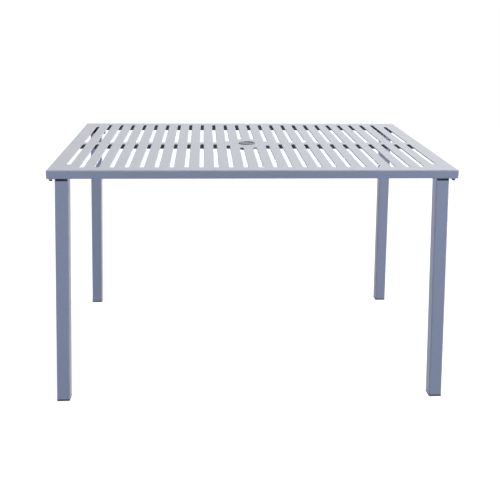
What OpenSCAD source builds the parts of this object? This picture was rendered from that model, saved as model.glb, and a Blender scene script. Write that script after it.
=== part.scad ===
// Slatted garden table with a parasol hole and four bolted legs that splay outwards.
// The floor is z = 0, X runs along the long side, and the origin is under the middle of the top.

/* [Top] */
// Length of the top along X
table_l = 1200; // [900:1:1800]
// Width of the top along Y
table_w = 800; // [600:1:1100]
// Height of the top face above the floor
table_h = 740; // [620:1:780]
// Thickness of the steel sheet
sheet_t = 1.5; // [1:0.1:2]
// Height of the rim round the top
rim_h = 26; // [20:0.5:40]
// Outer radius of the fold between the top face and the rim
fold_r = 5; // [3.5:0.1:6]
// Width of the hem turned in along the bottom of the rim
hem_w = 5; // [4:0.1:8]
// Outer radius of the bend between the rim and its hem
hem_r = 2.5; // [2.2:0.1:3.5]
// Width of the shelf of the rim that the slatted panel lies on
shelf_w = 14; // [10:0.5:20]
// Radius of the upright corners of the top
corner_r = 3; // [1:0.1:4]

/* [Slots] */
// Distance from one slot to the next
slot_pitch = 43.8; // [30:0.1:70]
// Width of a slot
slot_w = 11.5; // [6:0.5:18]
// Depth of the turned-down edge of a slot, under the sheet
slot_lip = 0.8; // [0.5:0.1:4]
// Least distance from the end of the top to the cell of the first slot
side_margin = 30; // [25:0.5:50]
// Distance from the long side of the top to the slots
end_border = 40; // [32:0.5:60]
// Width of the middle band between the two rows of slots
band_w = 34; // [30:0.5:60]
// Length that the four corner slots lose at their outer ends
corner_cut = 38; // [0:1:80]
// Radius of the plain disc round the parasol hole
hub_r = 75; // [60:1:110]

/* [Centre rail] */
// Width of the channel under the middle band
rail_w = 26; // [16:0.5:27]
// Depth of the channel under the sheet
rail_h = 15; // [8:0.5:18]
// Wall of the channel
rail_t = 1.5; // [1:0.1:2.5]

/* [Parasol hole] */
// Bore that steadies the pole
pole_d = 46; // [36:0.5:52]
// Extra width of the recess in the collar between its bore and its lip
plug_seat = 2; // [1:0.1:4]
// Wall of the collar beside its bore
collar_t = 3; // [2.5:0.1:5]
// Reach of the collar under the sheet
collar_h = 17.5; // [14:0.5:40]
// Depth of the bottom of that recess under the top face
plug_room = 9; // [6:0.5:11]
// Width of the flange of the collar, outside the hole in the panel
collar_flange_w = 16; // [10:0.5:25]
// Thickness of the flange of the collar
collar_flange_t = 2; // [1.5:0.1:3]
// Height of the ring of the collar that rises into the hole in the panel and carries the cap
collar_ring_h = 0.4; // [0.2:0.1:0.8]
// Depth of the lip of the collar under the sheet, as wide as its bore
collar_lip = 1.5; // [1:0.1:2.5]
// Diameter of the cap of the plug
plug_cap_d = 55; // [52:0.5:70]
// Thickness of the cap of the plug at its rim
plug_cap_t = 3.5; // [2.6:0.1:5]
// Thickness of the cap of the plug under the round recess in its top
plug_floor_t = 1.5; // [1:0.1:2.4]
// Wall of the cup of the plug
plug_wall = 2; // [1:0.1:3]

/* [Legs] */
// Outer size of the square leg tube
leg_size = 40; // [30:0.5:50]
// Wall of the leg tube
leg_wall = 1.5; // [1.2:0.1:3]
// Outer radius of the corners of the leg tube
leg_corner_r = 4; // [3.2:0.1:6]
// Outward lean of a leg, seen from the front and from the side, in degrees
leg_splay = 2.5; // [0:0.1:4]
// Depth of the cut-away across the outer wall at the top of the tube
leg_notch = 8; // [4:0.5:12]
// Thickness of the plate welded on the leg
leg_plate_t = 3; // [2:0.5:6]
// Reach of that plate past the faces of the tube
leg_plate_over = 1; // [0.5:0.1:3]
// Length of the plug inside the top of the leg
insert_h = 24; // [15:1:40]
// Thickness of the foot cap under the tube
foot_h = 5; // [3:0.5:10]
// Length of the part of the foot cap inside the tube
foot_stem = 20; // [10:1:40]
// Wall of the stem of the foot cap and of the plug inside the leg
plastic_t = 2.5; // [1.5:0.1:4]

/* [Leg fixing] */
// Thickness of the corner plate inside the rim
gusset_t = 3; // [2:0.5:5]
// Length of the corner plate along each side of the rim
gusset_l = 56.5; // [45:0.5:70]
// Distance from the faces of the rim to the bolt outside the leg
bolt_edge = 11; // [11:0.5:16]
// Distance from the faces of the leg tube to its bolts
bolt_gap = 9; // [8:0.5:16]
// Distance from the bolts to the edge of the plates
bolt_margin = 6.5; // [6.5:0.5:9]
// Diameter of the bolts
bolt_d = 5; // [4:0.5:6]

/* [Hidden] */
$fn = 48;

// Clearances
fit_gap = 0.3;       // between plastic parts and the tube round them
plug_gap = 0.4;      // between the cup of the plug and the lip of the collar
cap_gap = 0.5;       // between the cap of the plug and the hole in the panel
seat_gap = 0.1;      // between the cap of the plug and the ring that carries it
hole_gap = 0.5;      // between a bolt and its hole, all round
eps = 0.01;          // overshoot of a cutter past a face
rim_fillet = 2;      // inside bend between the shelf and the wall of the rim

// Levels above the floor
sheet_z = table_h - sheet_t;
rim_z = table_h - rim_h;
leg_top_z = rim_z - leg_plate_t;

// Slot pattern
slot_count = 2 * floor((table_l - 2 * side_margin) / (2 * slot_pitch));
slot_far = table_w / 2 - end_border;

// Leg places
leg_inset = bolt_edge + bolt_gap;
leg_x = table_l / 2 - leg_inset - leg_size / 2;
leg_y = table_w / 2 - leg_inset - leg_size / 2;
leg_bore = leg_size - 2 * leg_wall;
leg_bore_r = leg_corner_r - leg_wall;

// Bolt places, inwards from the outer corner of the top
leg_mid = leg_inset + leg_size / 2;
bolt_inner = leg_inset + leg_size + bolt_gap;
bolt_places = [[bolt_edge, bolt_edge], [bolt_inner, leg_mid], [leg_mid, bolt_inner]];
hem_cut = gusset_l + fit_gap;

// Hole and plug
bore_r = pole_d / 2;
recess_r = bore_r + plug_seat / 2;
collar_r = recess_r + collar_t;
cap_r = plug_cap_d / 2;
hole_r = cap_r + cap_gap;
flange_r = hole_r + collar_flange_w;
ring_z = sheet_z + collar_ring_h;
cup_r = bore_r - plug_gap;
cup_depth = plug_room - 0.5;

// Bolt sizes, as shares of the thread as a hexagon bolt has them
head_af = 1.67 * bolt_d;
head_h = 0.67 * bolt_d;
nut_h = 0.83 * bolt_d;
washer_r = bolt_d;
washer_t = 0.27 * bolt_d;
bolt_end = 0.3 * bolt_d;

// Colours
frame_colour = [0.62, 0.65, 0.71];
top_colour = [0.66, 0.69, 0.74];
plastic_colour = [0.10, 0.11, 0.13];
plug_colour = [0.44, 0.45, 0.48];
zinc_colour = [0.14, 0.14, 0.15];

// Points along an arc about (cx, cy) from angle a0 to a1
function arc(cx, cy, r, a0, a1, n = 8) =
  [for (i = [0:n]) let (a = a0 + (a1 - a0) * i / n) [cx + r * cos(a), cy + r * sin(a)]];

// End of a slot of the inner rows beside the plain disc, as a distance from the middle line
function slot_near(x) = abs(x) >= hub_r ? band_w / 2 : max(band_w / 2, sqrt(hub_r * hub_r - x * x));

// Rectangle about the origin with round corners
module round_rect(x, y, r) {
  square([x - 2 * r, y], center = true);
  square([x, y - 2 * r], center = true);
  for (sx = [-1, 1], sy = [-1, 1]) {
    translate([sx * (x / 2 - r), sy * (y / 2 - r)]) circle(r);
  }
}

// Every slot of both rows, each wider than the opening by grow all round
module slots(grow = 0) {
  for (i = [0:slot_count - 1], side = [-1, 1]) {
    x = (i - (slot_count - 1) / 2) * slot_pitch;
    at_end = i == 0 || i == slot_count - 1;
    near = slot_near(x) - grow;
    far = slot_far - (at_end ? corner_cut : 0) + grow;
    translate([x, side * (near + far) / 2]) square([slot_w + 2 * grow, far - near], center = true);
  }
}

// Sheet of the top, with every slot edge turned down
module slatted_panel() {
  color(top_colour) {
    translate([0, 0, sheet_z]) linear_extrude(sheet_t) difference() {
      square([table_l - 2 * fold_r, table_w - 2 * fold_r], center = true);
      slots();
      circle(hole_r, $fn = 96);
    }
    translate([0, 0, sheet_z - slot_lip]) linear_extrude(slot_lip) difference() {
      slots(sheet_t);
      slots();
    }
  }
}

// Cross-section of the rim, x inwards from its outer face and y up from the top face
module rim_section() {
  polygon(concat(
    arc(fold_r, -fold_r, fold_r, 90, 180),
    arc(hem_r, hem_r - rim_h, hem_r, 180, 270, 6),
    [[hem_w, -rim_h], [hem_w, sheet_t - rim_h]],
    arc(hem_r, hem_r - rim_h, hem_r - sheet_t, 270, 180, 6),
    arc(sheet_t + rim_fillet, -2 * sheet_t - rim_fillet, rim_fillet, 180, 90, 6),
    [[shelf_w, -2 * sheet_t], [shelf_w, -sheet_t], [fold_r, -sheet_t]]
  ));
}

// One side of the rim along the front, mitred at both ends, with its hem cut back for the corner plates
module rim_side(l, w) {
  reach = l / 2;
  round_r = min(corner_r, 2.8 * sheet_t);
  translate([0, 0, table_h]) difference() {
    intersection() {
      translate([-reach, -w / 2, 0]) rotate([90, 0, 90]) linear_extrude(l) rim_section();
      translate([0, 0, -rim_h - 1]) linear_extrude(rim_h + 2)
        polygon([[-reach, -w / 2], [reach, -w / 2], [reach - w / 2, 0], [w / 2 - reach, 0]]);
      translate([0, 0, -rim_h - 1]) linear_extrude(rim_h + 2) round_rect(l, w, round_r);
    }
    for (side = [-1, 1]) {
      translate([side * (reach - sheet_t - hem_cut / 2), hem_w + sheet_t - w / 2, -rim_h])
        cube([hem_cut, 2 * hem_w, 2 * (gusset_t + fit_gap)], center = true);
    }
  }
}

module rim_front() color(frame_colour) rim_side(table_l, table_w);
module rim_back() color(frame_colour) rotate([0, 0, 180]) rim_side(table_l, table_w);
module rim_left() color(frame_colour) rotate([0, 0, -90]) rim_side(table_w, table_l);
module rim_right() color(frame_colour) rotate([0, 0, 90]) rim_side(table_w, table_l);

// Right half of the channel under the middle band, open upwards
module centre_rail() {
  rail_end = table_l / 2 - sheet_t;
  color(frame_colour) difference() {
    translate([0, -rail_w / 2, sheet_z - rail_h]) cube([rail_end, rail_w, rail_h]);
    translate([-eps, rail_t - rail_w / 2, sheet_z - rail_h + rail_t])
      cube([table_l, rail_w - 2 * rail_t, rail_h]);
    translate([0, 0, sheet_z - rail_h - eps]) cylinder(r = collar_r, h = rail_h + 2 * eps);
    translate([0, 0, sheet_z - collar_flange_t]) cylinder(r = flange_r, h = collar_flange_t + eps);
    translate([table_l / 2 - shelf_w, -rail_w / 2 - eps, sheet_z - sheet_t])
      cube([shelf_w, rail_w + 2 * eps, sheet_t + eps]);
    translate([rail_end - rim_fillet, -rail_w / 2 - eps, sheet_z - sheet_t - rim_fillet])
      cube([rim_fillet + eps, rail_w + 2 * eps, rim_fillet + eps]);
  }
}

module centre_rail_left() rotate([0, 0, 180]) centre_rail();
module centre_rail_right() centre_rail();

// Flanged collar under the hole: a ring and a lip for the plug above a recess, and the bore for the pole below
module parasol_collar() {
  chamfer = 1;
  ring_r = hole_r - fit_gap;
  lip_z = sheet_z - collar_lip;
  step_z = table_h - plug_room;
  low_z = sheet_z - collar_h;
  color(frame_colour) rotate_extrude($fn = 96) polygon([
    [bore_r, ring_z], [ring_r, ring_z], [ring_r, sheet_z],
    [flange_r, sheet_z], [flange_r, sheet_z - collar_flange_t],
    [collar_r, sheet_z - collar_flange_t], [collar_r, low_z + chamfer], [collar_r - chamfer, low_z],
    [bore_r, low_z], [bore_r, step_z], [recess_r, step_z], [recess_r, lip_z], [bore_r, lip_z]
  ]);
}

// Lift-out cap with a round recess on top and a cup that locates it in the hole
module parasol_plug() {
  cap_z = ring_z + seat_gap;
  top_z = cap_z + plug_cap_t;
  dish_r = cup_r;
  edge = 1.2;
  slope = 1.5;
  bottom_z = table_h - cup_depth;
  floor_z = cap_z + plug_floor_t;
  color(plug_colour) rotate_extrude($fn = 96) polygon(concat(
    [[0, floor_z], [dish_r - slope, floor_z], [dish_r, top_z]],
    arc(cap_r - edge, top_z - edge, edge, 90, 0, 5),
    [[cap_r, cap_z], [cup_r, cap_z], [cup_r, bottom_z + slope / 2], [cup_r - slope / 2, bottom_z],
     [cup_r - plug_wall, bottom_z], [cup_r - plug_wall, cap_z], [0, cap_z]]
  ));
}

// Puts the corner made for the back right at any corner
module at_corner(sx, sy) {
  mirror([sx < 0 ? 1 : 0, 0, 0]) mirror([0, sy < 0 ? 1 : 0, 0]) children();
}

// Puts children at the three bolts of the back right leg, at height z
module at_bolts(z) {
  for (p = bolt_places) {
    translate([table_l / 2 - p[0], table_w / 2 - p[1], z]) children();
  }
}

// Ears from the axis of the leg to its bolts, each with a round end
module ears() {
  translate([leg_x, leg_y]) for (p = bolt_places) {
    run = [leg_mid - p[0], leg_mid - p[1]];
    rotate(atan2(run[1], run[0])) {
      translate([0, -bolt_margin]) square([norm(run), 2 * bolt_margin]);
      translate([norm(run), 0]) circle(bolt_margin);
    }
  }
}

// Outline of the corner plate inside the rim
module gusset_outline() {
  middle = sheet_t + gusset_l / 2;
  translate([table_l / 2 - middle, table_w / 2 - middle]) round_rect(gusset_l, gusset_l, corner_r);
  ears();
}

// Outline of the plate on the leg, just wider than the tube
module leg_plate_outline() {
  size = leg_size + 2 * leg_plate_over;
  translate([leg_x, leg_y]) round_rect(size, size, leg_corner_r + leg_plate_over);
  ears();
}

// Axis of the back right leg, with its top at the origin and -Z along the tube
module leg_axis() {
  lean_x = leg_splay;
  lean_y = atan(tan(leg_splay) * cos(leg_splay));
  translate([leg_x, leg_y, leg_top_z]) rotate([lean_y, -lean_x, 0]) children();
}

// Square bar on the axis of the leg, cut level at heights low and high
module leg_bar(size, r, low, high) {
  over = leg_size;
  intersection() {
    leg_axis() translate([0, 0, low - leg_top_z - over])
      linear_extrude(high - low + 2 * over) round_rect(size, size, r);
    translate([0, 0, low]) linear_extrude(high - low) translate([leg_x, leg_y]) square(table_w, center = true);
  }
}

// Corner plate welded inside the rim
module gusset() {
  color(frame_colour) difference() {
    translate([0, 0, rim_z]) linear_extrude(gusset_t) gusset_outline();
    at_bolts(rim_z - 1) cylinder(d = bolt_d + 2 * hole_gap, h = gusset_t + 2);
  }
}

// Plate welded on the leg tube, bolted up against the corner plate
module leg_plate() {
  color(frame_colour) difference() {
    translate([0, 0, leg_top_z]) linear_extrude(leg_plate_t) leg_plate_outline();
    at_bolts(leg_top_z - 1) cylinder(d = bolt_d + 2 * hole_gap, h = leg_plate_t + 2);
  }
}

// Square tube, cut level at both ends, with its outer wall cut away at the top
module leg_tube() {
  notch_l = leg_size + 4;
  color(frame_colour) difference() {
    leg_bar(leg_size, leg_corner_r, foot_h, leg_top_z);
    leg_bar(leg_bore, leg_bore_r, foot_h - 1, leg_top_z + 1);
    translate([leg_x - notch_l / 2, leg_y + leg_bore / 2, leg_top_z - leg_notch])
      cube([notch_l, leg_size, leg_notch + 1]);
  }
}

// Hollow plastic plug in the top of the tube, open at its lower end
module leg_insert() {
  size = leg_bore - 2 * fit_gap;
  color(plastic_colour) difference() {
    leg_bar(size, leg_bore_r, leg_top_z - insert_h, leg_top_z);
    leg_bar(size - 2 * plastic_t, leg_bore_r, leg_top_z - insert_h - 1, leg_top_z - leg_notch - plastic_t);
  }
}

// Plastic foot: a pad under the tube and a hollow stem inside it
module foot_cap() {
  size = leg_bore - 2 * fit_gap;
  color(plastic_colour) difference() {
    union() {
      leg_bar(leg_size, leg_corner_r, 0, foot_h);
      leg_bar(size, leg_bore_r, foot_h - eps, foot_h + foot_stem);
    }
    leg_bar(size - 2 * plastic_t, leg_bore_r, foot_h, foot_h + foot_stem + 1);
  }
}

// Hexagon with its corners chamfered at the faces named
module hexagon(af, h, low = true, high = true) {
  r = af / sqrt(3);
  bevel = 0.1 * af;
  intersection() {
    cylinder(r = r, h = h, $fn = 6);
    union() {
      translate([0, 0, low ? bevel / 2 : 0]) cylinder(r = r, h = h - (low ? bevel / 2 : 0) - (high ? bevel / 2 : 0));
      if (low) cylinder(r1 = r - bevel, r2 = r, h = bevel / 2);
      if (high) translate([0, 0, h - bevel / 2]) cylinder(r1 = r, r2 = r - bevel, h = bevel / 2);
    }
  }
}

// Bolts of one leg, heads down
module bolts() {
  shank = washer_t + leg_plate_t + gusset_t + nut_h + bolt_end;
  low_z = leg_top_z - washer_t - head_h;
  at_bolts(low_z) {
    hexagon(head_af, head_h, true, false);
    cylinder(d = bolt_d, h = head_h + shank, $fn = 32);
  }
}

module washers() {
  at_bolts(leg_top_z - washer_t) difference() {
    cylinder(r = washer_r, h = washer_t, $fn = 32);
    translate([0, 0, -1]) cylinder(d = bolt_d + hole_gap, h = washer_t + 2, $fn = 32);
  }
}

module nuts() {
  at_bolts(rim_z + gusset_t) difference() {
    hexagon(head_af, nut_h);
    translate([0, 0, -1]) cylinder(d = bolt_d, h = nut_h + 2, $fn = 32);
  }
}

module leg_bolts() color(zinc_colour) for (sx = [-1, 1], sy = [-1, 1]) at_corner(sx, sy) bolts();
module leg_washers() color(zinc_colour) for (sx = [-1, 1], sy = [-1, 1]) at_corner(sx, sy) washers();
module leg_nuts() color(zinc_colour) for (sx = [-1, 1], sy = [-1, 1]) at_corner(sx, sy) nuts();

slatted_panel();
rim_front();
rim_back();
rim_left();
rim_right();
centre_rail_left();
centre_rail_right();
parasol_collar();
parasol_plug();
at_corner(-1, -1) gusset();  // gusset_front_left
at_corner(1, -1) gusset();  // gusset_front_right
at_corner(-1, 1) gusset();  // gusset_back_left
at_corner(1, 1) gusset();  // gusset_back_right
at_corner(-1, -1) leg_plate();  // leg_plate_front_left
at_corner(1, -1) leg_plate();  // leg_plate_front_right
at_corner(-1, 1) leg_plate();  // leg_plate_back_left
at_corner(1, 1) leg_plate();  // leg_plate_back_right
at_corner(-1, -1) leg_tube();  // leg_tube_front_left
at_corner(1, -1) leg_tube();  // leg_tube_front_right
at_corner(-1, 1) leg_tube();  // leg_tube_back_left
at_corner(1, 1) leg_tube();  // leg_tube_back_right
at_corner(-1, -1) leg_insert();  // leg_insert_front_left
at_corner(1, -1) leg_insert();  // leg_insert_front_right
at_corner(-1, 1) leg_insert();  // leg_insert_back_left
at_corner(1, 1) leg_insert();  // leg_insert_back_right
at_corner(-1, -1) foot_cap();  // foot_cap_front_left
at_corner(1, -1) foot_cap();  // foot_cap_front_right
at_corner(-1, 1) foot_cap();  // foot_cap_back_left
at_corner(1, 1) foot_cap();  // foot_cap_back_right
leg_bolts();
leg_washers();
leg_nuts();
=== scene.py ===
"""Slatted steel garden table with a lift-out parasol plug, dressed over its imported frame."""

import logging
import math
from dataclasses import dataclass
from enum import Enum

import bmesh
import bpy
from mathutils import Matrix, Vector


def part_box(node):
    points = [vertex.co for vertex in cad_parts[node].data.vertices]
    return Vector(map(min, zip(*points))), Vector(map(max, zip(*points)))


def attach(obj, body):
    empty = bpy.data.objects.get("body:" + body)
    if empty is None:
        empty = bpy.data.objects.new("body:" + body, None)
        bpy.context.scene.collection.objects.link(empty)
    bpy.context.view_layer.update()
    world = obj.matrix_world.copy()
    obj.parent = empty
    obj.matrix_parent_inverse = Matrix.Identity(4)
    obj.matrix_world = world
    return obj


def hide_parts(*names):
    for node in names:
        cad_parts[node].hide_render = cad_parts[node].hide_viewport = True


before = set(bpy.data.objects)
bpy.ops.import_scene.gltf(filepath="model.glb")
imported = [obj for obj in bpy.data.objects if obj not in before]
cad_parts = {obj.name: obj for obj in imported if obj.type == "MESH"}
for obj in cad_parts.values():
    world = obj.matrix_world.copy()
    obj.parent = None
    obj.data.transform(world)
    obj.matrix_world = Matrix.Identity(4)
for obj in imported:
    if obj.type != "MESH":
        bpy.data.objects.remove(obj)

MM = 0.001
CORNER_SIGNS = ((-1, -1), (-1, 1), (1, -1), (1, 1))
LOG = logging.getLogger("garden_table")

Pair = tuple[float, float]
Point = tuple[float, float, float]
Ring = list[Point]


class Body(Enum):
    """The rigid bodies of the frame that a piece can ride on."""

    TABLE = "table"
    PLUG = "plug"


class Slot(Enum):
    """The material slots of the record, one name for each kind of drawn piece."""

    TOP = "top_coat"
    FRAME = "frame_coat"
    PLUG = "plug_plastic"
    ZINC = "dark_zinc"


def srgb(code: str) -> tuple[float, float, float, float]:
    """Turns an sRGB hex colour to the linear colour that Blender's sockets take.

    Args:
        code: the colour as "#RRGGBB".

    Returns:
        Red, green, blue and an alpha of 1, all linear.
    """
    channels = [int(code[i:i + 2], 16) / 255 for i in (1, 3, 5)]
    linear = [c / 12.92 if c <= 0.04045 else ((c + 0.055) / 1.055) ** 2.4 for c in channels]
    return (*linear, 1.0)


def add_node(tree: bpy.types.NodeTree, kind: str, settings: dict | None = None,
             inputs: dict | None = None) -> bpy.types.Node:
    """Adds one node to a tree, with its settings, values and links.

    Args:
        tree: the tree that gets the node.
        kind: the node's type name.
        settings: the node's own properties.
        inputs: socket names or numbers, each with a value or with the output socket to link.

    Returns:
        The new node.
    """
    node = tree.nodes.new(kind)
    for name, value in (settings or {}).items():
        setattr(node, name, value)
    for name, value in (inputs or {}).items():
        if isinstance(value, bpy.types.NodeSocket):
            tree.links.new(value, node.inputs[name])
        else:
            node.inputs[name].default_value = value
    return node


def add_object(name: str, data: bpy.types.ID) -> bpy.types.Object:
    """Puts a mesh, a camera or a lamp into the scene as an object at the origin.

    Args:
        name: the object's name.
        data: what the object shows. A mesh is in metres in the frame's axes.

    Returns:
        The new object.
    """
    made = bpy.data.objects.new(name, data)
    bpy.context.scene.collection.objects.link(made)
    return made


def point_mesh(name: str, places: list[Point], **numbers: list[float]) -> bpy.types.Mesh:
    """Makes a mesh of loose points, each with named numbers for a geometry tree.

    Args:
        name: the mesh's name.
        places: the points, in metres.
        numbers: for each attribute name, one number a point.

    Returns:
        The mesh.
    """
    mesh = bpy.data.meshes.new(name)
    mesh.from_pydata(places, [], [])
    for key, values in numbers.items():
        mesh.attributes.new(key, "FLOAT", "POINT").data.foreach_set("value", values)
    return mesh


def smooth(mesh: bpy.types.Mesh, degrees: float = 35) -> None:
    """Shades a mesh smooth, with sharp edges where its faces turn by more than an angle.

    Args:
        mesh: the mesh to shade.
        degrees: the angle from which an edge stays sharp.
    """
    mesh.shade_smooth()
    mesh.set_sharp_from_angle(angle=math.radians(degrees))


def tidy(mesh: bpy.types.Mesh) -> None:
    """Merges a mesh's doubled points and turns its faces outwards.

    Args:
        mesh: the mesh to clean, in metres.
    """
    same_place = 1e-6
    work = bmesh.new()
    work.from_mesh(mesh)
    bmesh.ops.remove_doubles(work, verts=work.verts, dist=same_place)
    bmesh.ops.recalc_face_normals(work, faces=work.faces)
    work.to_mesh(mesh)
    work.free()


def full_turn(steps: int) -> list[float]:
    """Lists evenly spaced angles round a circle.

    Args:
        steps: the number of angles.

    Returns:
        The angles, in radians, from 0.
    """
    return [2 * math.pi * k / steps for k in range(steps)]


def polar(radius: float, turn: float, height: float) -> Point:
    """Places a point round the Z axis.

    Args:
        radius: its distance from the axis.
        turn: its angle from the X axis, in radians.
        height: its height.

    Returns:
        The point, in the unit of the radius and the height.
    """
    return (radius * math.cos(turn), radius * math.sin(turn), height)


def half_top() -> Pair:
    """Measures the top from its middle.

    Returns:
        Half its length and half its width, in millimetres.
    """
    return (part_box("rim_right")[1].x / MM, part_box("rim_back")[1].y / MM)


def loft(name: str, rings: list[Ring], endless: bool = False) -> bpy.types.Mesh:
    """Joins rings of points into one closed skin.

    Args:
        name: the mesh's name.
        rings: rings with the same number of points each, in millimetres.
        endless: True if the last ring joins the first, False if both ends are closed with a face.

    Returns:
        The mesh, in metres.
    """
    mesh = bpy.data.meshes.new(name)
    count, total = len(rings[0]), len(rings)
    points = [tuple(c * MM for c in point) for ring in rings for point in ring]
    faces: list[tuple[int, ...]] = []
    for i in range(total if endless else total - 1):
        this, following = i * count, (i + 1) % total * count
        faces += [(this + k, this + (k + 1) % count, following + (k + 1) % count, following + k)
                  for k in range(count)]
    if not endless:
        faces += [tuple(range(count)), tuple(range((total - 1) * count, total * count))]
    mesh.from_pydata(points, [], faces)
    tidy(mesh)
    return mesh


def lathe(name: str, profile: list[Pair], steps: int, endless: bool = False) -> bpy.types.Mesh:
    """Turns a profile round the Z axis.

    Args:
        name: the mesh's name.
        profile: radius and height of each point, in millimetres.
        steps: the number of faces round the axis.
        endless: True if the profile is a closed loop off the axis.

    Returns:
        The mesh, in metres.
    """
    rings = [[polar(radius, turn, height) for turn in full_turn(steps)] for radius, height in profile]
    return loft(name, rings, endless)


def arc(x: float, y: float, radius: float, start: float, end: float, steps: int) -> list[Pair]:
    """Lists points along an arc.

    Args:
        x: the centre's first coordinate.
        y: the centre's second coordinate.
        radius: the arc's radius.
        start: its first angle, in degrees.
        end: its last angle, in degrees.
        steps: the number of stretches.

    Returns:
        The points, both ends included.
    """
    angles = [math.radians(start + (end - start) * k / steps) for k in range(steps + 1)]
    return [(x + radius * math.cos(a), y + radius * math.sin(a)) for a in angles]


class GeometryTree:
    """A geometry node tree with named inputs, baked to a plain mesh."""

    def __init__(self, name: str, sizes: dict[str, float]) -> None:
        """Starts a tree with a geometry input, a material input and one input for each size.

        Args:
            name: the tree's name.
            sizes: the value of each named size, in metres or as a plain number.
        """
        self.tree = bpy.data.node_groups.new(name, "GeometryNodeTree")
        self.values: dict[str, object] = {}
        self.tree.interface.new_socket("Geometry", in_out="INPUT", socket_type="NodeSocketGeometry")
        self.tree.interface.new_socket("Geometry", in_out="OUTPUT", socket_type="NodeSocketGeometry")
        for label, value in sizes.items():
            self.add_input(label, "NodeSocketFloat", value)
        self.finish_identifier = self.add_input("Finish", "NodeSocketMaterial", None)
        self.given = self.tree.nodes.new("NodeGroupInput")

    def add_input(self, label: str, kind: str, value: object) -> str:
        """Adds a named input and keeps the value that its modifier gets.

        Args:
            label: the socket's name.
            kind: the socket's type name.
            value: the value for the modifier.

        Returns:
            The socket's identifier.
        """
        socket = self.tree.interface.new_socket(label, in_out="INPUT", socket_type=kind)
        self.values[socket.identifier] = value
        return socket.identifier

    def size(self, label: str) -> bpy.types.NodeSocket:
        """Finds one of the tree's own inputs.

        Args:
            label: the input's name.

        Returns:
            The socket with its value.
        """
        return self.given.outputs[label]

    def node(self, kind: str, settings: dict | None = None, inputs: dict | None = None) -> bpy.types.Node:
        """Adds a node to this tree, as add_node does.

        Args:
            kind: the node's type name.
            settings: the node's own properties.
            inputs: socket names or numbers, each with a value or with the output socket to link.

        Returns:
            The new node.
        """
        return add_node(self.tree, kind, settings, inputs)

    def math(self, operation: str, first: object, second: object) -> bpy.types.NodeSocket:
        """Adds one sum to the tree.

        Args:
            operation: the math node's operation.
            first: a number or a socket.
            second: a number or a socket.

        Returns:
            The socket with the result.
        """
        return self.node("ShaderNodeMath", {"operation": operation}, {0: first, 1: second}).outputs[0]

    def lift(self, shape: bpy.types.NodeSocket, label: str) -> bpy.types.NodeSocket:
        """Adds the nodes that move a shape up from the floor.

        Args:
            shape: the socket that holds the shape.
            label: the name of the input with the height.

        Returns:
            The socket with the moved shape.
        """
        up = self.node("ShaderNodeCombineXYZ", None, {"Z": self.size(label)})
        moved = self.node("GeometryNodeTransform", None, {
            "Geometry": shape, "Translation": up.outputs["Vector"]})
        return moved.outputs["Geometry"]

    def bake(self, name: str, shape: bpy.types.NodeSocket, start: bpy.types.Mesh,
             finish: bpy.types.Material) -> bpy.types.Object:
        """Ends the tree, runs it on a start mesh and keeps the result as a plain mesh.

        Args:
            name: the piece's name.
            shape: the socket that holds the finished geometry.
            start: the mesh that the tree starts from.
            finish: the piece's material.

        Returns:
            The piece, at the origin and with no modifier left.
        """
        real = self.node("GeometryNodeRealizeInstances", None, {"Geometry": shape})
        dressed = self.node("GeometryNodeSetMaterial", None,
                            {"Geometry": real.outputs["Geometry"], "Material": self.size("Finish")})
        self.node("NodeGroupOutput", None, {"Geometry": dressed.outputs["Geometry"]})
        source = add_object(name + "_start", start)
        modifier = source.modifiers.new(name, "NODES")
        modifier.node_group = self.tree
        self.values[self.finish_identifier] = finish
        for identifier, value in self.values.items():
            modifier[identifier] = value
        bpy.context.view_layer.update()
        graph = bpy.context.evaluated_depsgraph_get()
        mesh = bpy.data.meshes.new_from_object(source.evaluated_get(graph), depsgraph=graph)
        mesh.name = name
        bpy.data.objects.remove(source)
        return add_object(name, mesh)


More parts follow.
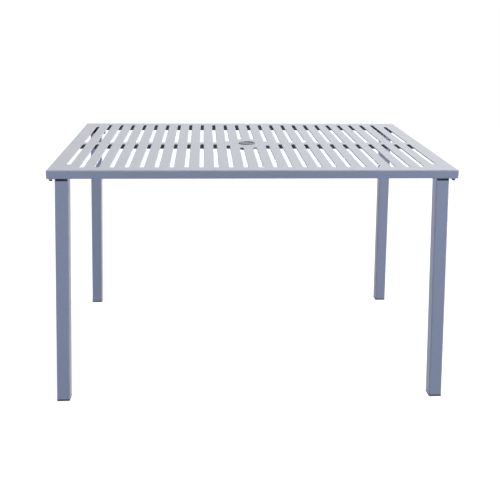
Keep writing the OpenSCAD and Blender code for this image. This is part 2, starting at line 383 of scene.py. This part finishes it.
@dataclass(frozen=True)
class Finish:
    """A skin with a mottle, a fine grain and a roughness that follows the grain."""

    name: str
    colour: str
    roughness: float
    specular: float
    mottle_mm: float
    mottle: float
    grain_mm: float
    grain_depth_mm: float
    roughness_swing: float = 0.06
    metallic: float = 0.0

    def material(self) -> bpy.types.Material:
        """Builds the material on Object coordinates, so its scales are real sizes.

        Returns:
            The material.
        """
        made = bpy.data.materials.new(self.name)
        made.use_nodes = True
        tree = made.node_tree
        tree.nodes.clear()
        # The shades and the roughness are spread over this range of the noise, and held beyond it.
        noise_low, noise_high = 0.3, 0.7
        bump_strength = 0.6
        spot = add_node(tree, "ShaderNodeTexCoord").outputs["Object"]
        patch = add_node(tree, "ShaderNodeTexNoise", None, {
            "Vector": spot, "Scale": 1 / (self.mottle_mm * MM), "Detail": 3.0, "Roughness": 0.55})
        grain = add_node(tree, "ShaderNodeTexNoise", None, {
            "Vector": spot, "Scale": 1 / (self.grain_mm * MM), "Detail": 2.0, "Roughness": 0.5})
        shade = add_node(tree, "ShaderNodeMapRange", None, {
            "Value": patch.outputs["Fac"], "From Min": noise_low, "From Max": noise_high,
            "To Min": 1 - self.mottle, "To Max": 1 + self.mottle})
        tint = add_node(tree, "ShaderNodeVectorMath", {"operation": "SCALE"}, {
            0: srgb(self.colour)[:3], "Scale": shade.outputs["Result"]})
        gloss = add_node(tree, "ShaderNodeMapRange", None, {
            "Value": grain.outputs["Fac"], "From Min": noise_low, "From Max": noise_high,
            "To Min": self.roughness - self.roughness_swing, "To Max": self.roughness + self.roughness_swing})
        relief = add_node(tree, "ShaderNodeBump", None, {
            "Height": grain.outputs["Fac"], "Strength": bump_strength, "Distance": self.grain_depth_mm * MM})
        skin = add_node(tree, "ShaderNodeBsdfPrincipled", None, {
            "Base Color": tint.outputs["Vector"], "Roughness": gloss.outputs["Result"],
            "Normal": relief.outputs["Normal"], "Metallic": self.metallic,
            "Specular IOR Level": self.specular})
        add_node(tree, "ShaderNodeOutputMaterial", None, {"Surface": skin.outputs["BSDF"]})
        return made


class Finishes:
    """Every finish of the table, each built once."""

    def __init__(self) -> None:
        """Builds the materials."""
        # Polyester powder coat, baked on steel: satin, slightly blue silver-grey with an orange-peel skin.
        # The peel is drawn 1.6 mm wide, coarser than the real 0.5 mm, so that it shows.
        self.coat = Finish(
            "powder_coat_silver_grey", "#9FA6B4", roughness=0.42, specular=0.3,
            mottle_mm=14, mottle=0.025, grain_mm=1.6, grain_depth_mm=0.05).material()
        # Injection-moulded polypropylene: near black, with a spark-eroded mould grain. It dresses the foot
        # caps and the leg inserts.
        self.black_plastic = Finish(
            "moulded_black_plastic", "#101115", roughness=0.6, specular=0.25,
            mottle_mm=9, mottle=0.08, grain_mm=0.9, grain_depth_mm=0.04).material()
        # The same plastic in grey for the plug, matt so that it reads darker than the coat beside it.
        self.grey_plastic = Finish(
            "moulded_grey_plastic", "#6F7079", roughness=0.6, specular=0.3,
            mottle_mm=7, mottle=0.04, grain_mm=0.9, grain_depth_mm=0.04).material()
        # Black passivated zinc on the bolts: metal, dull, with a cloudy bloom.
        self.zinc = Finish(
            "black_zinc_plate", "#2A2B2F", roughness=0.38, specular=0.5,
            mottle_mm=2.5, mottle=0.12, grain_mm=0.4, grain_depth_mm=0.02,
            roughness_swing=0.08, metallic=1.0).material()


def dress_nodes(names: list[str], finish: bpy.types.Material) -> None:
    """Gives a finish to CAD nodes that keep their shape.

    Args:
        names: the nodes.
        finish: their material.
    """
    for name in names:
        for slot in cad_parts[name].material_slots:
            slot.material = finish
    LOG.info("dressed %d nodes with %s", len(names), finish.name)


@dataclass
class SlattedTop:
    """The flat sheet of the top, with two rows of slots with rolled-down edges. Sizes in millimetres."""

    sheet_t: float = 1.5
    fold_r: float = 5.0
    slot_pitch: float = 43.8
    slot_w: float = 11.5
    slot_drop: float = 2.8
    slot_end_r: float = 2.5
    roll_r: float = 1.8
    slots_a_row: int = 26
    end_border: float = 40.0
    band_w: float = 34.0
    corner_cut: float = 38.0
    hub_r: float = 75.0
    hole_r: float = 28.0
    hole_steps: int = 96
    slot_end_steps: int = 4
    bent_edge_ease: float = 0.3

    def slots(self) -> bpy.types.Mesh:
        """Works out every slot of both rows.

        Returns:
            One point in the middle of each slot, with the slot's length as an attribute, in metres.
        """
        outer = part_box("slatted_panel")[1].y / MM + self.fold_r - self.end_border
        places, lengths = [], []
        for i in range(self.slots_a_row):
            x = (i - (self.slots_a_row - 1) / 2) * self.slot_pitch
            near = max(self.band_w / 2, math.sqrt(max(self.hub_r ** 2 - x ** 2, 0)))
            far = outer - (self.corner_cut if i in (0, self.slots_a_row - 1) else 0)
            for side in (-1, 1):
                places.append((x * MM, side * (near + far) / 2 * MM, 0.0))
                lengths.append((far - near) * MM)
        return point_mesh("slot_places", places, slot_length=lengths)

    def outlines(self, tree: GeometryTree) -> bpy.types.NodeSocket:
        """Adds the nodes that draw a rounded outline round each slot.

        Args:
            tree: a tree with the inputs Opening, Grow and Corner.

        Returns:
            The socket with the curves, flat on the floor.
        """
        grown = tree.math("MULTIPLY", tree.size("Grow"), 2.0)
        length = tree.node("GeometryNodeInputNamedAttribute", {"data_type": "FLOAT"}, {"Name": "slot_length"})
        size = tree.node("ShaderNodeCombineXYZ", None, {
            "X": tree.math("ADD", tree.size("Opening"), grown),
            "Y": tree.math("ADD", length.outputs["Attribute"], grown), "Z": 1.0})
        unit = tree.node("GeometryNodeCurvePrimitiveQuadrilateral", None, {"Width": 1.0, "Height": 1.0})
        copies = tree.node("GeometryNodeInstanceOnPoints", None, {
            "Points": tree.size("Geometry"), "Instance": unit.outputs["Curve"],
            "Scale": size.outputs["Vector"]})
        real = tree.node("GeometryNodeRealizeInstances", None, {"Geometry": copies.outputs["Instances"]})
        rounded = tree.node("GeometryNodeFilletCurve", {"mode": "POLY"}, {
            "Curve": real.outputs["Geometry"], "Count": self.slot_end_steps,
            "Radius": tree.math("ADD", tree.size("Corner"), tree.size("Grow"))})
        return rounded.outputs["Curve"]

    def sheet(self, finish: bpy.types.Material) -> bpy.types.Object:
        """Builds the flat sheet with its slots and its hole.

        Args:
            finish: the sheet's material.

        Returns:
            The piece.
        """
        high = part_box("slatted_panel")[1]
        tree = GeometryTree("slotted_sheet", {
            "Opening": self.slot_w * MM, "Grow": self.roll_r * MM, "Corner": self.slot_end_r * MM,
            "Length": 2 * high.x, "Width": 2 * high.y, "Hole": self.hole_r * MM, "Height": high.z})
        edge = tree.node("GeometryNodeCurvePrimitiveQuadrilateral", None, {
            "Width": tree.size("Length"), "Height": tree.size("Width")})
        hole = tree.node("GeometryNodeCurvePrimitiveCircle", None, {
            "Resolution": self.hole_steps, "Radius": tree.size("Hole")})
        every = tree.node("GeometryNodeJoinGeometry")
        for curve in (self.outlines(tree), edge.outputs["Curve"], hole.outputs["Curve"]):
            tree.tree.links.new(curve, every.inputs["Geometry"])
        filled = tree.node("GeometryNodeFillCurve", None, {"Curve": every.outputs["Geometry"]})
        raised = tree.lift(filled.outputs["Mesh"], "Height")
        piece = tree.bake("slotted_sheet", raised, self.slots(), finish)
        if piece.data.polygons[0].normal.z < 0:
            piece.data.flip_normals()
        thickness = piece.modifiers.new("sheet thickness", "SOLIDIFY")
        thickness.thickness = self.sheet_t * MM
        thickness.offset = -1
        return piece

    def rolled_edges(self, finish: bpy.types.Material) -> bpy.types.Object:
        """Sweeps the bent edge of the sheet round every slot.

        Args:
            finish: the edges' material.

        Returns:
            The piece.
        """
        roll, drop, wall, ease = self.roll_r, self.slot_drop, self.sheet_t, self.bent_edge_ease
        section = [
            *arc(roll, -roll, roll, 90, 180, steps=6),
            (0.0, -drop + ease), (ease, -drop), (wall - ease, -drop), (wall, -drop + ease),
            *arc(roll, -roll, roll - wall, 180, 90, steps=3)]
        places = [(u * MM, -v * MM, 0.0) for u, v in section]
        edges = [(k, (k + 1) % len(section)) for k in range(len(section))]
        loop = bpy.data.meshes.new("bent_edge_section")
        loop.from_pydata(places, edges, [])
        shape = add_object("bent_edge_section", loop)
        tree = GeometryTree("rolled_slot_edges", {
            "Opening": self.slot_w * MM, "Grow": 0.0, "Corner": self.slot_end_r * MM,
            "Height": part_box("slatted_panel")[1].z})
        tree.add_input("Section", "NodeSocketObject", shape)
        source = tree.node("GeometryNodeObjectInfo", None, {"Object": tree.size("Section")})
        bent = tree.node("GeometryNodeMeshToCurve", None, {"Mesh": source.outputs["Geometry"]})
        upright = tree.node("GeometryNodeSetCurveNormal", {"mode": "Z_UP"}, {"Curve": self.outlines(tree)})
        swept = tree.node("GeometryNodeCurveToMesh", None, {
            "Curve": upright.outputs["Curve"], "Profile Curve": bent.outputs["Curve"]})
        raised = tree.lift(swept.outputs["Mesh"], "Height")
        piece = tree.bake("rolled_slot_edges", raised, self.slots(), finish)
        bpy.data.objects.remove(shape)
        tidy(piece.data)
        smooth(piece.data)
        return piece

    def build(self, finishes: Finishes) -> list[bpy.types.Object]:
        """Builds the top's pieces and puts them on the table.

        Args:
            finishes: the table's materials.

        Returns:
            The pieces.
        """
        pieces = [self.sheet(finishes.coat), self.rolled_edges(finishes.coat)]
        for piece in pieces:
            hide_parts("slatted_panel")
            place(piece, Body.TABLE, Slot.TOP)
        return pieces


@dataclass
class ParasolPlug:
    """The moulded plug: a cap with a shallow dish, over a cup in the collar. Sizes in millimetres.

    The dish sizes that end in _in are measured inwards from the outside of the cup.
    """

    cap_r: float = 27.5
    cup_r: float = 22.6
    cup_wall: float = 2.0
    cap_t: float = 3.5
    dish_depth: float = 2.0
    dish_floor_in: float = 1.9
    dish_foot_in: float = 1.5
    dish_foot_h: float = 0.06
    dish_lip_in: float = 0.2
    dish_lip_h: float = 0.1
    dish_lip_out: float = 0.1
    edge_r: float = 1.2
    arris: float = 0.3
    lead_in_w: float = 0.8
    lead_in_h: float = 1.0
    steps: int = 128

    def build(self, finishes: Finishes) -> list[bpy.types.Object]:
        """Turns the plug from its section and puts it on its own body.

        Args:
            finishes: the table's materials.

        Returns:
            The one piece.
        """
        low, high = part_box("parasol_plug")
        top, bottom = high.z / MM, low.z / MM
        under = top - self.cap_t
        floor = top - self.dish_depth
        inner = self.cup_r - self.cup_wall
        dish = [
            (0.0, floor), (self.cup_r - self.dish_floor_in, floor),
            (self.cup_r - self.dish_foot_in, floor + self.dish_foot_h),
            (self.cup_r - self.dish_lip_in, top - self.dish_lip_h), (self.cup_r + self.dish_lip_out, top)]
        edge = [
            *arc(self.cap_r - self.edge_r, top - self.edge_r, self.edge_r, 90, 0, steps=8),
            (self.cap_r, under + self.arris), (self.cap_r - self.arris, under)]
        cup = [
            (self.cup_r, under), (self.cup_r, bottom + self.lead_in_h), (self.cup_r - self.lead_in_w, bottom),
            (inner + self.arris, bottom), (inner, bottom + self.arris), (inner, under), (0.0, under)]
        mesh = lathe("plug_moulding", [*dish, *edge, *cup], self.steps)
        smooth(mesh, degrees=28)
        mesh.materials.append(finishes.grey_plastic)
        piece = add_object("plug_moulding", mesh)
        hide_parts("parasol_plug")
        place(piece, Body.PLUG, Slot.PLUG)
        return [piece]


@dataclass
class Fixings:
    """Three hexagon bolts at each leg, with their washers and nuts. Sizes in millimetres."""

    bolt_d: float = 5.0
    thread_pitch: float = 0.8
    bolt_edge: float = 11.0
    leg_mid: float = 40.0
    bolt_inner: float = 69.0
    across_over_bolt: float = 1.67
    face_share: float = 0.95
    chamfer_degrees: float = 30.0
    thread_depth_over_pitch: float = 0.6
    end_taper: float = 0.6
    shank_overlap: float = 0.5
    washer_gap: float = 0.25
    washer_bevel: float = 0.2
    rings_a_pitch: int = 6
    hexagon_steps: int = 48
    shank_steps: int = 24
    washer_steps: int = 40

    def places(self) -> bpy.types.Mesh:
        """Lists the twelve bolts, each with its own turn about its axis.

        Returns:
            One point a bolt, with its turn in radians as an attribute.
        """
        half_l, half_w = half_top()
        edge, middle, inner = self.bolt_edge, self.leg_mid, self.bolt_inner
        inwards = ((edge, edge), (inner, middle), (middle, inner))
        spots = [(sx * (half_l - a) * MM, sy * (half_w - b) * MM, 0.0)
                 for sx, sy in CORNER_SIGNS for a, b in inwards]
        golden_turn = 2.399963
        return point_mesh("bolt_places", spots, turn=[k * golden_turn for k in range(len(spots))])

    def hexagon(self, across: float, low: float, high: float, both: bool) -> list[Ring]:
        """Lists the rings of a hexagon whose corners are chamfered by a cone.

        Args:
            across: the distance across the flats.
            low: the height of the lower face.
            high: the height of the upper face.
            both: True to chamfer the upper face too.

        Returns:
            The rings from the lower face to the upper.
        """
        face_r = self.face_share * across / 2
        slope = math.tan(math.radians(self.chamfer_degrees))
        rings: list[Ring] = [[], [], [], []]
        for turn in full_turn(self.hexagon_steps):
            outer = across / 2 / math.cos(turn % (math.pi / 3) - math.pi / 6)
            fall = (outer - face_r) * slope
            top_r, top_fall = (face_r, fall) if both else (outer, 0.0)
            radii = (face_r, outer, outer, top_r)
            heights = (low, low + fall, high - top_fall, high)
            for ring, radius, height in zip(rings, radii, heights):
                ring.append(polar(radius, turn, height))
        return rings

    def thread(self, low: float, high: float) -> list[Ring]:
        """Lists the rings of a threaded shank whose end tapers in a little past the root of the thread.

        Args:
            low: the height where the shank starts.
            high: the height of its end.

        Returns:
            The rings from low to high.
        """
        steps = self.shank_steps
        depth = self.thread_depth_over_pitch * self.thread_pitch
        count = round((high - low) / self.thread_pitch * self.rings_a_pitch)
        rings: list[Ring] = []
        for i in range(count + 1):
            z = low + (high - low) * i / count
            taper = max(0.0, self.end_taper - (high - z))
            ring: Ring = []
            for k, turn in enumerate(full_turn(steps)):
                wave = abs(2 * ((z / self.thread_pitch - k / steps) % 1) - 1)
                radius = min(self.bolt_d / 2 - depth * wave, self.bolt_d / 2 - taper)
                ring.append(polar(radius, turn, z))
            rings.append(ring)
        return rings

    def copies(self, name: str, shape: bpy.types.Mesh, finish: bpy.types.Material) -> bpy.types.Object:
        """Sets one shape at every bolt.

        Args:
            name: the piece's name.
            shape: the shape about its own axis, at its true height.
            finish: the piece's material.

        Returns:
            The piece.
        """
        pattern = add_object(name + "_pattern", shape)
        tree = GeometryTree(name, {})
        tree.add_input("Pattern", "NodeSocketObject", pattern)
        turn = tree.node("GeometryNodeInputNamedAttribute", {"data_type": "FLOAT"}, {"Name": "turn"})
        about = tree.node("ShaderNodeCombineXYZ", None, {"Z": turn.outputs["Attribute"]})
        source = tree.node("GeometryNodeObjectInfo", None, {"Object": tree.size("Pattern")})
        spread = tree.node("GeometryNodeInstanceOnPoints", None, {
            "Points": tree.size("Geometry"), "Instance": source.outputs["Geometry"],
            "Rotation": about.outputs["Vector"]})
        piece = tree.bake(name, spread.outputs["Instances"], self.places(), finish)
        bpy.data.objects.remove(pattern)
        smooth(piece.data, degrees=30)
        return piece

    def build(self, finishes: Finishes) -> list[bpy.types.Object]:
        """Builds the bolts, washers and nuts and puts them on the table.

        Args:
            finishes: the table's materials.

        Returns:
            The pieces.
        """
        heights = {name: [corner.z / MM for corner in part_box(name)]
                   for name in ("leg_bolts", "leg_washers", "leg_nuts")}
        across = self.across_over_bolt * self.bolt_d
        head_low, end = heights["leg_bolts"]
        seat, plate = heights["leg_washers"]
        nut_low, nut_high = heights["leg_nuts"]
        head = loft("hexagon_head", self.hexagon(across, head_low, seat, both=False))
        shank = loft("threaded_shank", self.thread(seat - self.shank_overlap, end))
        joined = bmesh.new()
        joined.from_mesh(head)
        joined.from_mesh(shank)
        joined.to_mesh(head)
        joined.free()
        washer_r, hole_r, bevel = self.bolt_d, self.bolt_d / 2 + self.washer_gap, self.washer_bevel
        section = [(hole_r, seat), (washer_r - bevel, seat), (washer_r, seat + bevel), (washer_r, plate),
                   (hole_r, plate)]
        washer = lathe("washer", section, self.washer_steps, endless=True)
        hexagon = self.hexagon(across, nut_low, nut_high, both=True)
        bore = [[polar(self.bolt_d / 2, turn, z) for turn in full_turn(self.hexagon_steps)]
                for z in (nut_high, nut_low)]
        nut = loft("hexagon_nut", [*hexagon, *bore], endless=True)
        pieces = []
        for name, shape, node in (
            ("hexagon_bolts", head, "leg_bolts"),
            ("flat_washers", washer, "leg_washers"),
            ("hexagon_nuts", nut, "leg_nuts"),
        ):
            piece = self.copies(name, shape, finishes.zinc)
            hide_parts(node)
            place(piece, Body.TABLE, Slot.ZINC)
            pieces.append(piece)
        return pieces


@dataclass
class Welds:
    """The beads of weld on the hidden side, laid as overlapping drops. Sizes in millimetres."""

    drop_r: float = 1.6
    drop_pitch: float = 1.9
    drop_segments: int = 8
    drop_rings: int = 6
    smallest_drop: float = 0.85
    leg_inset: float = 20.0
    leg_size: float = 40.0
    leg_bead_trim: float = 5.0
    sheet_t: float = 1.5
    flange_r: float = 44.0
    flange_bead_degrees: float = 12.0
    rail_half_w: float = 13.0
    stitch: float = 16.0
    rim_stitch_start: float = 24.0
    rail_stitch_start: float = 95.0
    rail_stitch_pitch: float = 140.0
    rail_stitches: int = 4

    def corner_paths(self) -> list[Ring]:
        """Lists the beads of one corner, measured inwards from the outer corner of the top.

        Returns:
            Paths of points: inwards along X, inwards along Y, and height.
        """
        leg_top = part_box("leg_plate_back_right")[0].z / MM
        gusset_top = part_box("gusset_back_right")[1].z / MM
        outer, inner = self.leg_inset, self.leg_inset + self.leg_size
        start, end = outer + self.leg_bead_trim, inner - self.leg_bead_trim
        wall = self.sheet_t
        first, last = self.rim_stitch_start, self.rim_stitch_start + self.stitch
        return [
            [(outer, start, leg_top), (outer, end, leg_top)],
            [(inner, start, leg_top), (inner, end, leg_top)],
            [(start, inner, leg_top), (end, inner, leg_top)],
            [(wall, first, gusset_top), (wall, last, gusset_top)],
            [(first, wall, gusset_top), (last, wall, gusset_top)],
        ]

    def middle_paths(self) -> list[Ring]:
        """Lists the beads of the collar and of the rails.

        Returns:
            Paths of points in the frame, in millimetres.
        """
        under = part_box("slatted_panel")[1].z / MM - self.sheet_t
        half = self.flange_bead_degrees
        paths = []
        for middle in (45, 135, 225, 315):
            bead = arc(0, 0, self.flange_r, middle - half, middle + half, steps=6)
            paths.append([(x, y, under) for x, y in bead])
        for sx, sy in CORNER_SIGNS:
            y = sy * self.rail_half_w
            for k in range(self.rail_stitches):
                x = sx * (self.rail_stitch_start + self.rail_stitch_pitch * k)
                paths.append([(x, y, under), (x + sx * self.stitch, y, under)])
        return paths

    def build(self, finishes: Finishes) -> list[bpy.types.Object]:
        """Lays every bead and puts them on the table.

        Args:
            finishes: the table's materials.

        Returns:
            The one piece.
        """
        half_l, half_w = half_top()
        paths = self.middle_paths()
        for sx, sy in CORNER_SIGNS:
            paths += [[(sx * (half_l - x), sy * (half_w - y), z) for x, y, z in path]
                      for path in self.corner_paths()]
        points, edges = [], []
        for path in paths:
            edges += [(len(points) + k, len(points) + k + 1) for k in range(len(path) - 1)]
            points += [tuple(c * MM for c in point) for point in path]
        lines = bpy.data.meshes.new("bead_paths")
        lines.from_pydata(points, edges, [])
        tree = GeometryTree("weld_beads", {
            "Drop radius": self.drop_r * MM, "Drop pitch": self.drop_pitch * MM})
        curve = tree.node("GeometryNodeMeshToCurve", None, {"Mesh": tree.size("Geometry")})
        spots = tree.node("GeometryNodeResampleCurve", {"mode": "LENGTH"}, {
            "Curve": curve.outputs["Curve"], "Length": tree.size("Drop pitch")})
        drop = tree.node("GeometryNodeMeshUVSphere", None, {
            "Segments": self.drop_segments, "Rings": self.drop_rings, "Radius": tree.size("Drop radius")})
        wobble = tree.node("FunctionNodeRandomValue", {"data_type": "FLOAT"}, {
            2: self.smallest_drop, 3: 1.0, "Seed": 7})
        laid = tree.node("GeometryNodeInstanceOnPoints", None, {
            "Points": spots.outputs["Curve"], "Instance": drop.outputs["Mesh"], "Scale": wobble.outputs[1]})
        piece = tree.bake("weld_beads", laid.outputs["Instances"], lines, finishes.coat)
        smooth(piece.data, degrees=80)
        place(piece, Body.TABLE, Slot.FRAME)
        return [piece]


@dataclass
class CarriedPieces:
    """The pieces whose CAD shape is right as it is, which only get their finish."""

    corners: tuple[str, ...] = ("front_left", "front_right", "back_left", "back_right")

    def at_corners(self, name: str) -> list[str]:
        """Names the four nodes of one kind.

        Args:
            name: the part of the name before the corner.

        Returns:
            The node's name at each corner.
        """
        return [f"{name}_{corner}" for corner in self.corners]

    def build(self, finishes: Finishes) -> list[bpy.types.Object]:
        """Dresses the nodes.

        Args:
            finishes: the table's materials.

        Returns:
            The dressed nodes.
        """
        steel = ["rim_front", "rim_back", "rim_left", "rim_right", "centre_rail_left", "centre_rail_right",
                 "parasol_collar"]
        for name in ("gusset", "leg_plate", "leg_tube"):
            steel += self.at_corners(name)
        # At the top of each front leg the near-black insert shows as a dark strip just under the rim.
        plastic = self.at_corners("leg_insert") + self.at_corners("foot_cap")
        dress_nodes(steel, finishes.coat)
        dress_nodes(plastic, finishes.black_plastic)
        return [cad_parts[name] for name in steel + plastic]


def place(piece: bpy.types.Object, body: Body, slot: Slot) -> None:
    """Puts a finished piece on its body.

    Args:
        piece: the piece, at the origin.
        body: the body that it moves with.
        slot: the record's slot; not used.
    """
    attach(piece, body.value)


@dataclass(frozen=True)
class PhotoCamera:
    """The camera fitted to the photograph.

    Angles are in degrees, the place and the sensor in millimetres and the far clip in metres. The picture,
    the focal length and the centre are in pixels.
    """

    picture: float = 500.0
    focal: float = 743.15
    centre_x: float = 234.49
    centre_y: float = 224.77
    pitch: float = 17.373
    yaw: float = 2.396
    roll: float = 0.485
    place: Point = (-144.7, -2494.03, 1230.33)
    sensor: float = 36.0
    far_clip: float = 100.0

    def build(self) -> bpy.types.Object:
        """Makes the camera and gives it to the scene.

        Returns:
            The camera.
        """
        face_back = Matrix(((1, 0, 0), (0, 0, -1), (0, 1, 0)))
        roll = Matrix.Rotation(math.radians(self.roll), 3, "Z")
        pitch = Matrix.Rotation(math.radians(self.pitch), 3, "X")
        yaw = Matrix.Rotation(math.radians(self.yaw), 3, "Z")
        turn = roll @ pitch @ face_back @ yaw
        axes = Matrix((turn[0], -turn[1], -turn[2])).transposed()
        data = bpy.data.cameras.new("photo_camera")
        data.sensor_fit = "HORIZONTAL"
        data.sensor_width = self.sensor
        data.lens = self.sensor * self.focal / self.picture
        data.shift_x = (self.picture / 2 - self.centre_x) / self.picture
        data.shift_y = (self.centre_y - self.picture / 2) / self.picture
        data.clip_end = self.far_clip
        camera = add_object("photo_camera", data)
        camera.matrix_world = Matrix.Translation(Vector(self.place) * MM) @ axes.to_4x4()
        bpy.context.scene.camera = camera
        return camera


@dataclass(frozen=True)
class Softbox:
    """A flat lamp that looks at a point: sizes in metres, power in watts."""

    name: str
    place: Point
    target: Point
    width: float
    height: float
    power: float
    colour: str

    def build(self) -> bpy.types.Object:
        """Makes the lamp.

        Returns:
            The lamp.
        """
        data = bpy.data.lights.new(self.name, "AREA")
        data.shape = "RECTANGLE"
        data.size = self.width
        data.size_y = self.height
        data.energy = self.power
        data.color = srgb(self.colour)[:3]
        lamp = add_object(self.name, data)
        aim = Vector(self.target) - Vector(self.place)
        turn = aim.to_track_quat("-Z", "Y").to_matrix().to_4x4()
        lamp.matrix_world = Matrix.Translation(self.place) @ turn
        lamp.visible_camera = False
        return lamp


@dataclass(frozen=True)
class Studio:
    """A white sweep: white where the camera or a reflection sees it, and dim where it lights the table."""

    floor_side: float = 9.0
    floor_gap: float = 0.0003
    sky_colour: str = "#BFCAE4"
    sky_strength: float = 0.09
    floor_colour: str = "#242527"
    glow: float = 0.95
    shadow_colour: str = "#6E7075"

    def seen(self, tree: bpy.types.NodeTree) -> bpy.types.NodeSocket:
        """Adds the nodes that tell a ray of the camera or of a reflection from a ray of light.

        Args:
            tree: the material's or the world's tree.

        Returns:
            A socket that is 1 for those rays.
        """
        path = add_node(tree, "ShaderNodeLightPath")
        shiny = add_node(tree, "ShaderNodeMath", {"operation": "MAXIMUM"}, {
            0: path.outputs["Is Glossy Ray"], 1: path.outputs["Is Transmission Ray"]})
        return add_node(tree, "ShaderNodeMath", {"operation": "MAXIMUM"}, {
            0: path.outputs["Is Camera Ray"], 1: shiny.outputs[0]}).outputs[0]

    def floor(self) -> bpy.types.Object:
        """Makes the floor, which keeps the table's shadow.

        Returns:
            The floor.
        """
        half = self.floor_side / 2
        round_the_floor = ((-1, -1), (1, -1), (1, 1), (-1, 1))
        corners = [(sx * half, sy * half, -self.floor_gap) for sx, sy in round_the_floor]
        mesh = bpy.data.meshes.new("studio_floor")
        mesh.from_pydata(corners, [], [(0, 1, 2, 3)])
        material = bpy.data.materials.new("white_sweep")
        material.use_nodes = True
        tree = material.node_tree
        tree.nodes.clear()
        dim = add_node(tree, "ShaderNodeBsdfDiffuse", None, {"Color": srgb(self.floor_colour)})
        glow = add_node(tree, "ShaderNodeEmission", None, {"Color": (1, 1, 1, 1), "Strength": self.glow})
        matt = add_node(tree, "ShaderNodeBsdfDiffuse", None, {"Color": srgb(self.shadow_colour)})
        white = add_node(tree, "ShaderNodeAddShader", None, {0: glow.outputs[0], 1: matt.outputs[0]})
        both = add_node(tree, "ShaderNodeMixShader", None, {
            0: self.seen(tree), 1: dim.outputs[0], 2: white.outputs[0]})
        add_node(tree, "ShaderNodeOutputMaterial", None, {"Surface": both.outputs[0]})
        mesh.materials.append(material)
        floor = add_object("studio_floor", mesh)
        return floor

    def sky(self) -> None:
        """Makes the world: white to the eye, a dim cool light to the table."""
        world = bpy.data.worlds.new("studio_sky")
        bpy.context.scene.world = world
        world.use_nodes = True
        tree = world.node_tree
        tree.nodes.clear()
        dim = add_node(tree, "ShaderNodeBackground", None, {
            "Color": srgb(self.sky_colour), "Strength": self.sky_strength})
        white = add_node(tree, "ShaderNodeBackground", None, {"Color": (1, 1, 1, 1), "Strength": 1.0})
        both = add_node(tree, "ShaderNodeMixShader", None, {
            0: self.seen(tree), 1: dim.outputs[0], 2: white.outputs[0]})
        add_node(tree, "ShaderNodeOutputWorld", None, {"Surface": both.outputs[0]})

    def lamps(self) -> list[Softbox]:
        """Lists the lamps.

        The overhead light hangs far off to the right, so the right-hand edge of each slot is in shade. The
        strips stand close to the height of the top, so little of their light goes through the slots or under
        the rim.

        Returns:
            The lamps, not yet in the scene.
        """
        top, under_top, at_rim = (0.0, 0.0, 0.74), (0.0, 0.0, 0.6), (0.0, 0.0, 0.66)
        front = {"target": under_top, "width": 1.4, "height": 0.16, "power": 50, "colour": "#DDE6FF"}
        side = {"target": at_rim, "width": 0.9, "height": 0.1, "colour": "#F4F5FF"}
        return [
            Softbox("overhead_softbox", (6.0, 1.8, 8.0), top, width=3.0, height=3.0, power=1680,
                    colour="#FFF8EC"),
            Softbox("front_left_strip", (-2.4, -2.9, 0.86), **front),
            Softbox("front_right_strip", (2.4, -2.9, 0.86), **front),
            Softbox("left_strip", (-3.0, 0.3, 0.69), power=24, **side),
            Softbox("right_strip", (3.0, -0.5, 0.69), power=34, **side),
            Softbox("back_strip", (0.0, 3.6, 0.5), under_top, width=1.4, height=0.16, power=30,
                    colour="#E0E7FF"),
        ]

    def build(self) -> None:
        """Sets up the floor, the sky and the lamps."""
        bpy.context.scene.view_settings.view_transform = "Standard"
        self.floor()
        self.sky()
        for lamp in self.lamps():
            lamp.build()


def main() -> None:
    """Builds the studio and every piece of the table, and reports each through the log."""
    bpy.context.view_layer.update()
    PhotoCamera().build()
    Studio().build()
    finishes = Finishes()
    for part in (CarriedPieces(), SlattedTop(), ParasolPlug(), Fixings(), Welds()):
        pieces = part.build(finishes)
        faces = sum(len(piece.data.polygons) for piece in pieces)
        LOG.info("%s: %d pieces, %d faces", type(part).__name__, len(pieces), faces)


if __name__ == "__main__":
    logging.basicConfig(level=logging.INFO, format="%(name)s: %(message)s")
    main()
